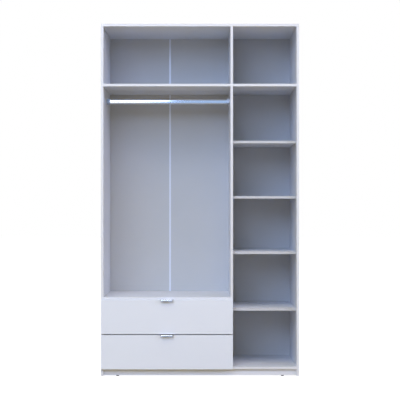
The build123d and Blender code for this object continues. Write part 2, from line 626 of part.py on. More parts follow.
def ball_cage(way, base, start, row):
    """A thin steel cage with a row of balls above and a row below, halfway along the runner."""
    cage_start = (RUNNER_LENGTH - CAGE_LENGTH) / 2
    first_ball = cage_start + (CAGE_LENGTH - (BALLS_PER_ROW - 1) * BALL_PITCH) / 2
    with BuildSketch(runner_plane(way, base, cage_start)) as section:
        with Locations(((start + CAGE_REACH) / 2, 0)):
            Rectangle(CAGE_REACH - start, 2 * row + CAGE_STEEL)
        with Locations(((start + CAGE_REACH) / 2 + CAGE_STEEL, 0)):
            Rectangle(CAGE_REACH - start, 2 * row - CAGE_STEEL, mode=Mode.SUBTRACT)
    extrude(section.sketch, amount=-way * CAGE_LENGTH)
    wall_x = LEFT_IN if way > 0 else DIVIDER_LEFT
    ball_ys = [RUNNER_FRONT_Y + first_ball + n * BALL_PITCH for n in range(BALLS_PER_ROW)]
    ball_zs = [runner_z(base) - row, runner_z(base) + row]
    with Locations(*places([wall_x + way * BALL_OFF_WALL], ball_ys, ball_zs, UPWARDS)):
        Cylinder(BALL_R + BALL_PLAY, 2 * CAGE_STEEL, mode=Mode.SUBTRACT)
        Sphere(BALL_R)


OUTER_ROW = (OUTER_HALF - STEEL + MIDDLE_HALF) / 2  # a row's height from the runner's middle
INNER_ROW = (MIDDLE_HALF - STEEL + INNER_HALF) / 2

for name, base in DRAWERS.items():
    drawer_screws = {
        way: places(
            [LEFT_IN + RUNNER_GAP - STEEL if way > 0 else DIVIDER_LEFT - RUNNER_GAP + STEEL],
            screw_ys(DRAWER_SCREW_ENDS),
            [runner_z(base)],
            LEFTWARDS if way > 0 else RIGHTWARDS,
        )
        for way in SIDES.values()
    }

    with BuildPart() as outer_members:
        for way in SIDES.values():
            channel(way, base, 0.0, OUTER_REACH, OUTER_HALF)
        with Locations(*left_runner_screws, *right_runner_screws):
            wood_screw(PLAY, Mode.SUBTRACT)
    save(outer_members, f"{name}_runner_outer_members")

    with BuildPart() as middle_members:
        for way in SIDES.values():
            channel(way, base, MIDDLE_START, MIDDLE_REACH, MIDDLE_HALF)
    save(middle_members, f"{name}_runner_middle_members")

    with BuildPart() as inner_members:
        for way in SIDES.values():
            channel(way, base, INNER_START, RUNNER_GAP, INNER_HALF, web_outside=False)
        with Locations(*drawer_screws[1], *drawer_screws[-1]):
            wood_screw(PLAY, Mode.SUBTRACT)
    save(inner_members, f"{name}_runner_inner_members")

    with BuildPart() as outer_cages:
        for way in SIDES.values():
            ball_cage(way, base, OUTER_CAGE_START, OUTER_ROW)
    save(outer_cages, f"{name}_runner_outer_ball_cages")

    with BuildPart() as inner_cages:
        for way in SIDES.values():
            ball_cage(way, base, INNER_CAGE_START, INNER_ROW)
    save(inner_cages, f"{name}_runner_inner_ball_cages")

    # ------------------------------------------------------------------ drawer
    box_z = base + BOX_RISE
    box_top = box_z + BOX_HEIGHT
    front_top = base + FRONT_HEIGHT
    base_z = box_z + BASE_RISE
    box_inner_left = BOX_LEFT + BOARD
    box_inner_right = BOX_RIGHT - BOARD
    box_inner_rear = BOX_REAR_Y - BOARD
    side_middles = (BOX_LEFT + BOARD / 2, BOX_RIGHT - BOARD / 2)
    bolt_zs = (box_z + CAM_INSET, box_top - CAM_INSET)
    corner_screw_zs = (box_z + RUNNER_RISE + OUTER_HALF + BOX_SCREW_INSET, box_top - BOX_SCREW_INSET)
    corner_screws = places([BOX_LEFT], [BOX_REAR_Y - BOARD / 2], corner_screw_zs, LEFTWARDS)
    corner_screws += places([BOX_RIGHT], [BOX_REAR_Y - BOARD / 2], corner_screw_zs, RIGHTWARDS)
    pull_screws = places(
        [PULL_X - PULL_SCREW_SPACING / 2, PULL_X + PULL_SCREW_SPACING / 2],
        [FRONT_REAR_Y + PULL_WALL],
        [front_top - PULL_SCREW_DROP],
        BACKWARDS,
    )
    bolt_reach = CAM_DISTANCE - CAM_R + BOLT_IN_CAM  # from the front's rear face
    groove_low = (box_inner_left - GROOVE_DEPTH, FRONT_REAR_Y - GROOVE_DEPTH, base_z - GROOVE_PLAY)
    groove_high = (
        box_inner_right + GROOVE_DEPTH,
        box_inner_rear + GROOVE_DEPTH,
        base_z + SHEET + GROOVE_PLAY,
    )

    with BuildPart() as front:
        slab(
            (LEFT_OUT + FRONT_REVEAL, FRONT_FACE_Y, base),
            (DIVIDER_RIGHT - FRONT_REVEAL, FRONT_REAR_Y, front_top),
        )
        fillet(front.edges(), FRONT_RADIUS)
        slab(groove_low, groove_high, mode=Mode.SUBTRACT)
        with Locations(*places(side_middles, [FRONT_REAR_Y], bolt_zs, BACKWARDS)):
            bore(BOLT_R + PLAY, BOLT_IN_FRONT + PLAY)
        with Locations(*pull_screws):
            wood_screw(PLAY, Mode.SUBTRACT)
    save(front, f"{name}_drawer_front")

    for (place, way), outer_x in zip(SIDES.items(), (BOX_LEFT, BOX_RIGHT)):
        inner_x = outer_x + way * BOARD
        cam_normal = RIGHTWARDS if way > 0 else LEFTWARDS
        with BuildPart() as box_side:
            slab((outer_x, FRONT_REAR_Y, box_z), (inner_x, BOX_REAR_Y, box_top))
            slab(groove_low, groove_high, mode=Mode.SUBTRACT)
            with Locations(*places([outer_x + way * BOARD / 2], [FRONT_REAR_Y], bolt_zs, FORWARDS)):
                bore(BOLT_R + PLAY, bolt_reach + PLAY)
            with Locations(*places([inner_x], [FRONT_REAR_Y + CAM_DISTANCE], bolt_zs, cam_normal)):
                bore(CAM_R + PLAY, CAM_LENGTH + PLAY)
            with Locations(*corner_screws):
                confirmat(PLAY, Mode.SUBTRACT)
            with Locations(*drawer_screws[way]):
                wood_screw(PLAY, Mode.SUBTRACT)
        save(box_side, f"{name}_drawer_side_{place}")

    with BuildPart() as box_back:
        slab((box_inner_left, box_inner_rear, box_z), (box_inner_right, BOX_REAR_Y, box_top))
        slab(groove_low, groove_high, mode=Mode.SUBTRACT)
        with Locations(*corner_screws):
            confirmat(PLAY, Mode.SUBTRACT)
    save(box_back, f"{name}_drawer_back")

    with BuildPart() as box_base:
        slab(
            (groove_low[0] + BASE_END_GAP, groove_low[1] + BASE_END_GAP, base_z),
            (groove_high[0] - BASE_END_GAP, groove_high[1] - BASE_END_GAP, base_z + SHEET),
        )
    save(box_base, f"{name}_drawer_base")

    with BuildPart() as cam_fittings:
        with Locations(*places([box_inner_left], [FRONT_REAR_Y + CAM_DISTANCE], bolt_zs, RIGHTWARDS)):
            Cylinder(CAM_R, CAM_LENGTH, align=BELOW)
        with Locations(*places([box_inner_right], [FRONT_REAR_Y + CAM_DISTANCE], bolt_zs, LEFTWARDS)):
            Cylinder(CAM_R, CAM_LENGTH, align=BELOW)
        with Locations(*places(side_middles, [FRONT_REAR_Y], bolt_zs, FORWARDS)):
            bore(BOLT_R + PLAY, bolt_reach + PLAY)
        with Locations(*places(side_middles, [FRONT_REAR_Y - BOLT_IN_FRONT], bolt_zs, FORWARDS)):
            Cylinder(BOLT_R, BOLT_IN_FRONT + bolt_reach, align=BELOW)
    save(cam_fittings, f"{name}_drawer_cam_fittings")

    with BuildPart() as box_screws:
        with Locations(*corner_screws):
            confirmat()
            bore(KEY_R, KEY_DEPTH)
    save(box_screws, f"{name}_drawer_corner_screws")

    with BuildPart() as wood_screws:
        with Locations(*pull_screws, *drawer_screws[1], *drawer_screws[-1]):
            wood_screw()
    save(wood_screws, f"{name}_drawer_wood_screws")

    nose_y = FRONT_FACE_Y - PULL_PROJECTION
    with BuildPart() as pull:
        with BuildSketch(Plane.YZ.offset(PULL_X - PULL_WIDTH / 2)) as section:
            with BuildLine():
                Polyline(
                    (FRONT_REAR_Y, front_top - PULL_FLANGE),
                    (FRONT_REAR_Y, front_top),
                    (nose_y + PULL_WALL, front_top),
                    (nose_y + PULL_WALL, front_top - PULL_LIP),
                    (nose_y, front_top - PULL_LIP),
                    (nose_y, front_top + PULL_WALL),
                    (FRONT_REAR_Y + PULL_WALL, front_top + PULL_WALL),
                    (FRONT_REAR_Y + PULL_WALL, front_top - PULL_FLANGE),
                    close=True,
                )
            make_face()
            for corner, radius in (
                ((nose_y, front_top + PULL_WALL), PULL_NOSE_R),
                ((nose_y + PULL_WALL, front_top), PULL_NOSE_R - PULL_WALL),
                ((FRONT_REAR_Y + PULL_WALL, front_top + PULL_WALL), PULL_BEND_R),
            ):
                fillet(section.vertices().sort_by_distance((*corner, 0))[0], radius)
        extrude(amount=PULL_WIDTH)
        with BuildSketch(Plane.XY.offset(front_top - PULL_FLANGE)) as plan:
            with Locations((PULL_X, (nose_y + FRONT_REAR_Y + PULL_WALL) / 2)):
                Rectangle(PULL_WIDTH, FRONT_REAR_Y + PULL_WALL - nose_y)
            fillet(plan.vertices().group_by(Axis.Y)[0], PULL_CORNER_R)
        extrude(amount=PULL_FLANGE + PULL_WALL, mode=Mode.INTERSECT)
        with Locations(*pull_screws):
            wood_screw(PLAY, Mode.SUBTRACT)
    save(pull, f"{name}_drawer_pull")
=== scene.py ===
import logging
import math
from dataclasses import dataclass
from enum import Enum

import bpy
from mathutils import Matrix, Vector


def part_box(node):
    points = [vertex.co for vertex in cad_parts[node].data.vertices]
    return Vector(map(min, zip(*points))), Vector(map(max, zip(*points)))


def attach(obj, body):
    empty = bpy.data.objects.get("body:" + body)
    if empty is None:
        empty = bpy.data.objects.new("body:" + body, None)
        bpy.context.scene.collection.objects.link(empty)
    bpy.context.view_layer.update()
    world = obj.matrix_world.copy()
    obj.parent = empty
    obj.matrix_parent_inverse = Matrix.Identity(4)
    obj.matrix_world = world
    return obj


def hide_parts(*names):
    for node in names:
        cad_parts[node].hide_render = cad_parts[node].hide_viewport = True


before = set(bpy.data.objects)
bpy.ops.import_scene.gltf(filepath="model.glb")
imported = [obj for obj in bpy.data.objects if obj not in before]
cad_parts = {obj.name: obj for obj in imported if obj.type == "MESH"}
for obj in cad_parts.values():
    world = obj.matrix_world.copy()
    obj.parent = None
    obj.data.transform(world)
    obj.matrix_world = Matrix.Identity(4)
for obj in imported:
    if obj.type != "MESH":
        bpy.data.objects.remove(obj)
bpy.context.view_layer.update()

# The open wardrobe's looks: melamine boards, hardboard back, chromed rail, satin drawer pulls.
# Sizes are in metres throughout.

log = logging.getLogger("wardrobe")
Point = tuple[float, float, float]
Colour = tuple[float, float, float]
MM = 0.001
HAIR = 0.01 * MM  # points closer than this are in one place
CLEAR = 1 * MM  # how far a cutter stands past what it cuts
FACING = 0.9  # a face looks in a direction when its normal has this share of it
SMOOTH_UP_TO = math.radians(35.0)  # a sharper edge stays sharp in the shading
COAT_ROUGHNESS = 0.15
WORN_ROUGHNESS = 0.25  # what full wear adds
BARE_ROUGHNESS = 0.85  # uncoated board


class Way(Enum):
    """A direction that a face can look in."""

    LEFT = (-1.0, 0.0, 0.0)
    RIGHT = (1.0, 0.0, 0.0)
    BACK = (0.0, 1.0, 0.0)
    DOWN = (0.0, 0.0, -1.0)
    UP = (0.0, 0.0, 1.0)


# ------------------------------------------------------------------ node trees
class Tree:
    """A node tree with short calls that add nodes and join them."""

    def __init__(self, tree: bpy.types.NodeTree) -> None:
        """Takes the tree and empties it.

        Args:
            tree: the node tree of a material, a world or a group.
        """
        self.tree = tree
        tree.nodes.clear()

    def add(self, kind: str, settings: dict | None = None, **inputs: object) -> bpy.types.Node:
        """Adds a node and fills its sockets.

        Args:
            kind: the node's type, without its ShaderNode prefix.
            settings: the node's own properties.
            inputs: a value or an output socket for each input, its spaces written as underscores.

        Returns:
            The new node.
        """
        prefix = "" if kind.startswith("Node") else "ShaderNode"
        node = self.tree.nodes.new(prefix + kind)
        for name, value in (settings or {}).items():
            setattr(node, name, value)
        for name, value in inputs.items():
            self.feed(node, name.replace("_", " "), value)
        return node

    def feed(self, node: bpy.types.Node, socket: str | int, value: object) -> None:
        """Sets or joins one input of a node.

        Args:
            node: the node.
            socket: the input's name or number.
            value: an output socket to join, or a value to set.
        """
        if isinstance(value, bpy.types.NodeSocket):
            self.tree.links.new(value, node.inputs[socket])
        else:
            node.inputs[socket].default_value = value

    def sum(self, operation: str, *values: object) -> bpy.types.NodeSocket:
        """A Math node's result, for one to three values or sockets."""
        node = self.add("Math", {"operation": operation})
        for number, value in enumerate(values):
            self.feed(node, number, value)
        return node.outputs[0]

    def vector(self, operation: str, *values: object) -> bpy.types.NodeSocket:
        """A Vector Math node's vector, for one or two values or sockets."""
        node = self.add("VectorMath", {"operation": operation})
        for number, value in enumerate(values):
            self.feed(node, number, value)
        return node.outputs[0]

    def blend(self, share: object, first: object, second: object) -> bpy.types.NodeSocket:
        """A mix of two colours.

        Args:
            share: how much of the second, a number or a socket.
            first: a colour or a socket.
            second: a colour or a socket.

        Returns:
            The mixed colour.
        """
        node = self.add("Mix", {"data_type": "RGBA"})
        for socket, value in ((0, share), (6, first), (7, second)):
            self.feed(node, socket, (*value, 1.0) if isinstance(value, tuple) else value)
        return node.outputs[2]


def group(
    name: str, inputs: dict[str, object], outputs: list[str]
) -> tuple[Tree, bpy.types.Node, bpy.types.Node]:
    """Starts a shader node group.

    Args:
        name: the group's name.
        inputs: each input's name and its usual value, a number or a vector.
        outputs: the names of the value outputs.

    Returns:
        The group's tree, its input node and its output node.
    """
    tree = bpy.data.node_groups.new(name, "ShaderNodeTree")
    for label, value in inputs.items():
        kind = "NodeSocketVector" if isinstance(value, tuple) else "NodeSocketFloat"
        socket = tree.interface.new_socket(label, in_out="INPUT", socket_type=kind)
        socket.default_value = value
    for label in outputs:
        tree.interface.new_socket(label, in_out="OUTPUT", socket_type="NodeSocketFloat")
    build = Tree(tree)
    return build, build.add("NodeGroupInput"), build.add("NodeGroupOutput")


class Effects:
    """The node groups that several finishes share."""

    def __init__(self) -> None:
        """Builds each group once."""
        self.texture = self._texture()
        self.edge = self._edge()
        self.chips = self._chips()

    @staticmethod
    def _texture() -> bpy.types.NodeTree:
        """Fine relief and slow mottling, both stretched as asked.

        Returns:
            The group, with Height and Mottle outputs.
        """
        sockets = {"Vector": (0.0, 0.0, 0.0), "Stretch": (1.0, 1.0, 1.0), "Fine": 1500.0, "Slow": 6.0}
        build, start, end = group("fine_texture", sockets, ["Height", "Mottle"])
        drawn = build.vector("MULTIPLY", start.outputs["Vector"], start.outputs["Stretch"])
        fine = build.add("TexNoise", Vector=drawn, Scale=start.outputs["Fine"], Detail=3.0, Roughness=0.6)
        slow = build.add("TexNoise", Vector=start.outputs["Vector"], Scale=start.outputs["Slow"])
        build.feed(slow, "Detail", 4.0)
        build.feed(slow, "Roughness", 0.55)
        spread = build.add("MapRange", Value=slow.outputs[0], From_Min=0.3, From_Max=0.7)
        build.feed(end, "Height", fine.outputs[0])
        build.feed(end, "Mottle", spread.outputs[0])
        return build.tree

    @staticmethod
    def _edge() -> bpy.types.NodeTree:
        """A mask along the edges of a boxy piece, broken up in patches as rubbed edges are; on the satin
        aluminium it also places a painted highlight.

        Returns:
            The group, with a Mask output: 1 at an edge, 0 further in than Width.
        """
        zero = (0.0, 0.0, 0.0)
        sockets = {"Vector": zero, "Low": zero, "High": zero, "Width": 0.002}
        build, start, end = group("edge_wear_and_highlight", sockets, ["Mask"])
        spot = start.outputs["Vector"]
        from_low = build.vector("SUBTRACT", spot, start.outputs["Low"])
        from_high = build.vector("SUBTRACT", start.outputs["High"], spot)
        split = build.add("SeparateXYZ", Vector=build.vector("MINIMUM", from_low, from_high))
        x, y, z = split.outputs
        total = build.sum("ADD", build.sum("ADD", x, y), z)
        furthest = build.sum("MAXIMUM", build.sum("MAXIMUM", x, y), z)
        inset = build.sum("SUBTRACT", total, furthest)
        nearness = build.add(
            "MapRange",
            {"interpolation_type": "SMOOTHSTEP"},
            Value=inset,
            From_Max=start.outputs["Width"],
            To_Min=1.0,
            To_Max=0.0,
        )
        patches = build.add("TexNoise", Vector=spot, Scale=35.0, Detail=5.0, Roughness=0.7)
        broken = build.add("MapRange", Value=patches.outputs[0], From_Min=0.42, From_Max=0.62)
        build.feed(end, "Mask", build.sum("MULTIPLY", nearness.outputs[0], broken.outputs[0]))
        return build.tree

    @staticmethod
    def _chips() -> bpy.types.NodeTree:
        """The cut edge of chipboard: flakes of several sizes and tones.

        Returns:
            The group, with a Tone output from dark to light.
        """
        build, start, end = group("chipboard", {"Vector": (0.0, 0.0, 0.0), "Size": 420.0}, ["Tone"])
        drawn = build.vector("MULTIPLY", start.outputs["Vector"], (0.45, 0.45, 1.0))
        flakes = build.add("TexVoronoi", Vector=drawn, Scale=start.outputs["Size"], Randomness=1.0)
        tone = build.add("SeparateColor", Color=flakes.outputs["Color"])
        dust = build.add("TexNoise", Vector=start.outputs["Vector"], Scale=1400.0, Detail=2.0)
        dust_share, flake_share = 0.45, 0.6
        coarse = build.sum("MULTIPLY", tone.outputs[0], flake_share)
        mixed = build.sum("MULTIPLY_ADD", dust.outputs[0], dust_share, coarse)
        build.feed(end, "Tone", mixed)
        return build.tree


# ------------------------------------------------------------------ finishes
@dataclass(frozen=True)
class Finish:
    """A finish as a maker would order it, though some of the colours below also carry painted light, painted
    shade and a painted highlight. Sizes are in metres, scales in repeats a metre.
    """

    name: str
    colour: Colour
    shade: Colour  # the mottling's second tone
    roughness: float
    roughness_spread: float = 0.08
    metallic: float = 0.0
    fine: float = 1500.0
    slow: float = 6.0
    stretch: Point = (1.0, 1.0, 1.0)
    relief: float = 0.05
    relief_depth: float = 0.0003
    # The edge colour and its mask: darker rubbing on most finishes; on the satin aluminium a lighter colour,
    # a polished edge with a painted highlight.
    wear_and_highlight: Colour = (0.35, 0.34, 0.33)
    wear_and_highlight_share: float = 0.3
    wear_and_highlight_width: float = 0.0015
    coat: float = 0.0
    raw_ways: tuple[Way, ...] = ()  # faces left as bare board
    raw_light: Colour = (0.52, 0.38, 0.24)
    raw_dark: Colour = (0.24, 0.15, 0.08)
    raw_chip: float = 420.0

    def material(self, effects: Effects, low: Vector, high: Vector, owner: str) -> bpy.types.Material:
        """Mixes the finish for one piece.

        Args:
            effects: the shared node groups.
            low: the piece's lowest corner, where its edges start.
            high: the piece's highest corner.
            owner: the piece's name.

        Returns:
            The material.
        """
        material = bpy.data.materials.new(f"{self.name}_{owner}")
        material.use_nodes = True
        build = Tree(material.node_tree)
        place = build.add("TexCoord")
        spot = place.outputs["Object"]
        texture = build.add("Group", {"node_tree": effects.texture}, Vector=spot)
        for socket, value in (("Stretch", self.stretch), ("Fine", self.fine), ("Slow", self.slow)):
            build.feed(texture, socket, value)
        edge = build.add("Group", {"node_tree": effects.edge}, Vector=spot)
        for socket, value in (("Low", low), ("High", high), ("Width", self.wear_and_highlight_width)):
            build.feed(edge, socket, value)
        height, mottle = texture.outputs["Height"], texture.outputs["Mottle"]
        colour = build.blend(mottle, self.colour, self.shade)
        # Edge colour: real rubbing on most finishes, and on the satin aluminium also a painted highlight.
        worn_and_highlight = build.sum("MULTIPLY", edge.outputs["Mask"], self.wear_and_highlight_share)
        colour = build.blend(worn_and_highlight, colour, self.wear_and_highlight)
        least = self.roughness - self.roughness_spread
        rough = build.sum("MULTIPLY_ADD", height, 2 * self.roughness_spread, least)
        rough = build.sum("MULTIPLY_ADD", worn_and_highlight, WORN_ROUGHNESS, rough)
        if self.raw_ways:
            colour, rough = self._raw(build, effects, place, colour, rough)
        bump = build.add("Bump", Strength=self.relief, Distance=self.relief_depth, Height=height)
        shader = build.add("BsdfPrincipled", Metallic=self.metallic)
        build.feed(shader, "Base Color", colour)
        build.feed(shader, "Roughness", rough)
        build.feed(shader, "Coat Weight", self.coat)
        build.feed(shader, "Coat Roughness", COAT_ROUGHNESS)
        build.feed(shader, "Normal", bump.outputs[0])
        output = build.add("OutputMaterial")
        build.feed(output, "Surface", shader.outputs[0])
        return material

    def _raw(
        self,
        build: Tree,
        effects: Effects,
        place: bpy.types.Node,
        colour: bpy.types.NodeSocket,
        rough: bpy.types.NodeSocket,
    ) -> tuple[bpy.types.NodeSocket, bpy.types.NodeSocket]:
        """Shows bare board on the faces that look in the raw ways.

        Args:
            build: the material's tree.
            effects: the shared node groups.
            place: the Texture Coordinate node.
            colour: the coated faces' colour.
            rough: the coated faces' roughness.

        Returns:
            The colour and the roughness of all the faces.
        """
        mask: object = 0.0
        turned = 0.7  # a face counts as looking in a way from here
        for way in self.raw_ways:
            node = build.add("VectorMath", {"operation": "DOT_PRODUCT"})
            build.feed(node, 0, place.outputs["Normal"])
            build.feed(node, 1, way.value)
            mask = build.sum("MAXIMUM", mask, build.sum("GREATER_THAN", node.outputs["Value"], turned))
        chips = build.add("Group", {"node_tree": effects.chips}, Vector=place.outputs["Object"])
        build.feed(chips, "Size", self.raw_chip)
        bare = build.blend(chips.outputs["Tone"], self.raw_dark, self.raw_light)
        bare_rough = build.sum("MULTIPLY", mask, BARE_ROUGHNESS)
        return build.blend(mask, colour, bare), build.sum("MAXIMUM", rough, bare_rough)


MELAMINE = Finish(
    "melamine", (0.71, 0.74, 0.80), (0.69, 0.72, 0.785), roughness=0.42, fine=2200.0, slow=3.0, relief=0.10
)
MELAMINE_RAW_BACK = Finish(
    "melamine_board",
    MELAMINE.colour,
    MELAMINE.shade,
    roughness=MELAMINE.roughness,
    fine=MELAMINE.fine,
    slow=MELAMINE.slow,
    relief=MELAMINE.relief,
    raw_ways=(Way.BACK,),
)
# The plinths: the white melamine given a lighter colour than the other boards, painted light where the
# plinths stand back in shade.
PLINTH_BOARD_PAINTED_LIGHT = Finish(
    "plinth_board",
    (0.84, 0.86, 0.91),
    (0.82, 0.84, 0.895),
    roughness=MELAMINE.roughness,
    fine=MELAMINE.fine,
    slow=MELAMINE.slow,
    relief=MELAMINE.relief,
    raw_ways=(Way.DOWN,),
)
EDGE_BAND = Finish(
    "edge_band",
    (0.76, 0.785, 0.83),
    (0.745, 0.77, 0.82),
    roughness=0.33,
    fine=900.0,
    stretch=(1.0, 1.0, 0.2),
    relief=0.06,
    wear_and_highlight_share=0.2,
    wear_and_highlight_width=0.0008,
)
# The loose shelves' edge bands: the edge band given a darker colour, painted shade where the shelves stand
# back in the bays.
SHELF_BAND_PAINTED_SHADE = Finish(
    "shelf_edge_band",
    (0.58, 0.60, 0.635),
    (0.565, 0.585, 0.62),
    roughness=EDGE_BAND.roughness,
    fine=EDGE_BAND.fine,
    relief=EDGE_BAND.relief,
    wear_and_highlight_share=EDGE_BAND.wear_and_highlight_share,
    wear_and_highlight_width=EDGE_BAND.wear_and_highlight_width,
)
# The drawer fronts: the white board given a lighter colour than the carcass, painted light.
FRONT_BOARD_PAINTED_LIGHT = Finish(
    "drawer_front",
    (0.80, 0.85, 0.93),
    (0.785, 0.835, 0.92),
    roughness=0.36,
    fine=2200.0,
    slow=2.5,
    relief=0.08,
    wear_and_highlight_share=0.25,
    wear_and_highlight_width=0.0012,
)
HARDBOARD = Finish(
    "hardboard",
    (0.54, 0.56, 0.60),
    (0.52, 0.545, 0.585),
    roughness=0.5,
    fine=1300.0,
    slow=4.0,
    relief=0.12,
    wear_and_highlight_share=0.15,
    raw_ways=(Way.BACK,),
    raw_light=(0.33, 0.20, 0.115),
    raw_dark=(0.20, 0.115, 0.06),
    raw_chip=900.0,
)
STRIP = Finish(
    "joint_strip", (0.78, 0.84, 0.98), (0.76, 0.82, 0.97), roughness=0.18, fine=700.0, relief=0.03, coat=0.3
)
CHROME = Finish(
    "chrome",
    (0.95, 0.97, 1.0),
    (0.90, 0.93, 0.97),
    roughness=0.05,
    roughness_spread=0.02,
    metallic=1.0,
    fine=300.0,
    slow=14.0,
    stretch=(0.05, 1.0, 1.0),
    relief=0.02,
    wear_and_highlight_share=0.1,
)
SOCKET_METAL = Finish(
    "satin_chrome",
    (0.52, 0.55, 0.60),
    (0.46, 0.49, 0.54),
    roughness=0.30,
    roughness_spread=0.05,
    metallic=1.0,
    fine=1200.0,
    slow=40.0,
    relief=0.04,
    wear_and_highlight_share=0.15,
    wear_and_highlight_width=0.001,
)
ALUMINIUM = Finish(
    "satin_aluminium",
    (0.72, 0.74, 0.78),
    (0.67, 0.69, 0.74),
    roughness=0.25,
    roughness_spread=0.04,
    metallic=1.0,
    fine=5000.0,
    slow=30.0,
    stretch=(0.02, 1.0, 1.0),
    relief=0.12,
    # Lighter edge colour: a polished edge with a painted highlight along the pull's top nose.
    wear_and_highlight=(0.85, 0.85, 0.86),
    wear_and_highlight_share=0.5,
    wear_and_highlight_width=0.0008,
)
ZINC = Finish(
    "zinc",
    (0.62, 0.64, 0.66),
    (0.50, 0.52, 0.55),
    roughness=0.32,
    metallic=1.0,
    fine=2500.0,
    slow=60.0,
    stretch=(1.0, 0.06, 1.0),
    relief=0.08,
    wear_and_highlight_share=0.2,
)
NYLON = Finish(
    "black_nylon",
    (0.022, 0.022, 0.024),
    (0.03, 0.03, 0.032),
    roughness=0.5,
    fine=1800.0,
    relief=0.2,
    wear_and_highlight_share=0.2,
)
CAP = Finish("cap", (0.84, 0.85, 0.88), (0.82, 0.83, 0.86), roughness=0.38, relief=0.06, wear_and_highlight_share=0.1)
BEECH = Finish(
    "beech",
    (0.60, 0.42, 0.26),
    (0.48, 0.31, 0.18),
    roughness=0.6,
    fine=900.0,
    slow=120.0,
    stretch=(0.1, 1.0, 1.0),
    relief=0.3,
)


# ------------------------------------------------------------------ the workbench
def spots(node: str) -> list[tuple[Vector, Vector]]:
    """The boxes of the separate solids in a CAD node.

    Args:
        node: the node's name.

    Returns:
        Each solid's lowest and highest corner.
    """
    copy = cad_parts[node].data.copy()
    shape = bpy.data.objects.new("spots", copy)
    bpy.context.collection.objects.link(shape)
    Bench.only(shape)
    bpy.ops.object.mode_set(mode="EDIT")
    bpy.ops.mesh.select_all(action="SELECT")
    bpy.ops.mesh.remove_doubles(threshold=HAIR)
    bpy.ops.mesh.separate(type="LOOSE")
    bpy.ops.object.mode_set(mode="OBJECT")
    boxes = []
    for piece in list(bpy.context.selected_objects):
        corners = [vertex.co for vertex in piece.data.vertices]
        low = Vector([min(c[axis] for c in corners) for axis in range(3)])
        high = Vector([max(c[axis] for c in corners) for axis in range(3)])
        boxes.append((low, high))
        bpy.data.objects.remove(piece)
    return sorted(boxes, key=lambda box: tuple(round(c, 5) for c in box[0]))


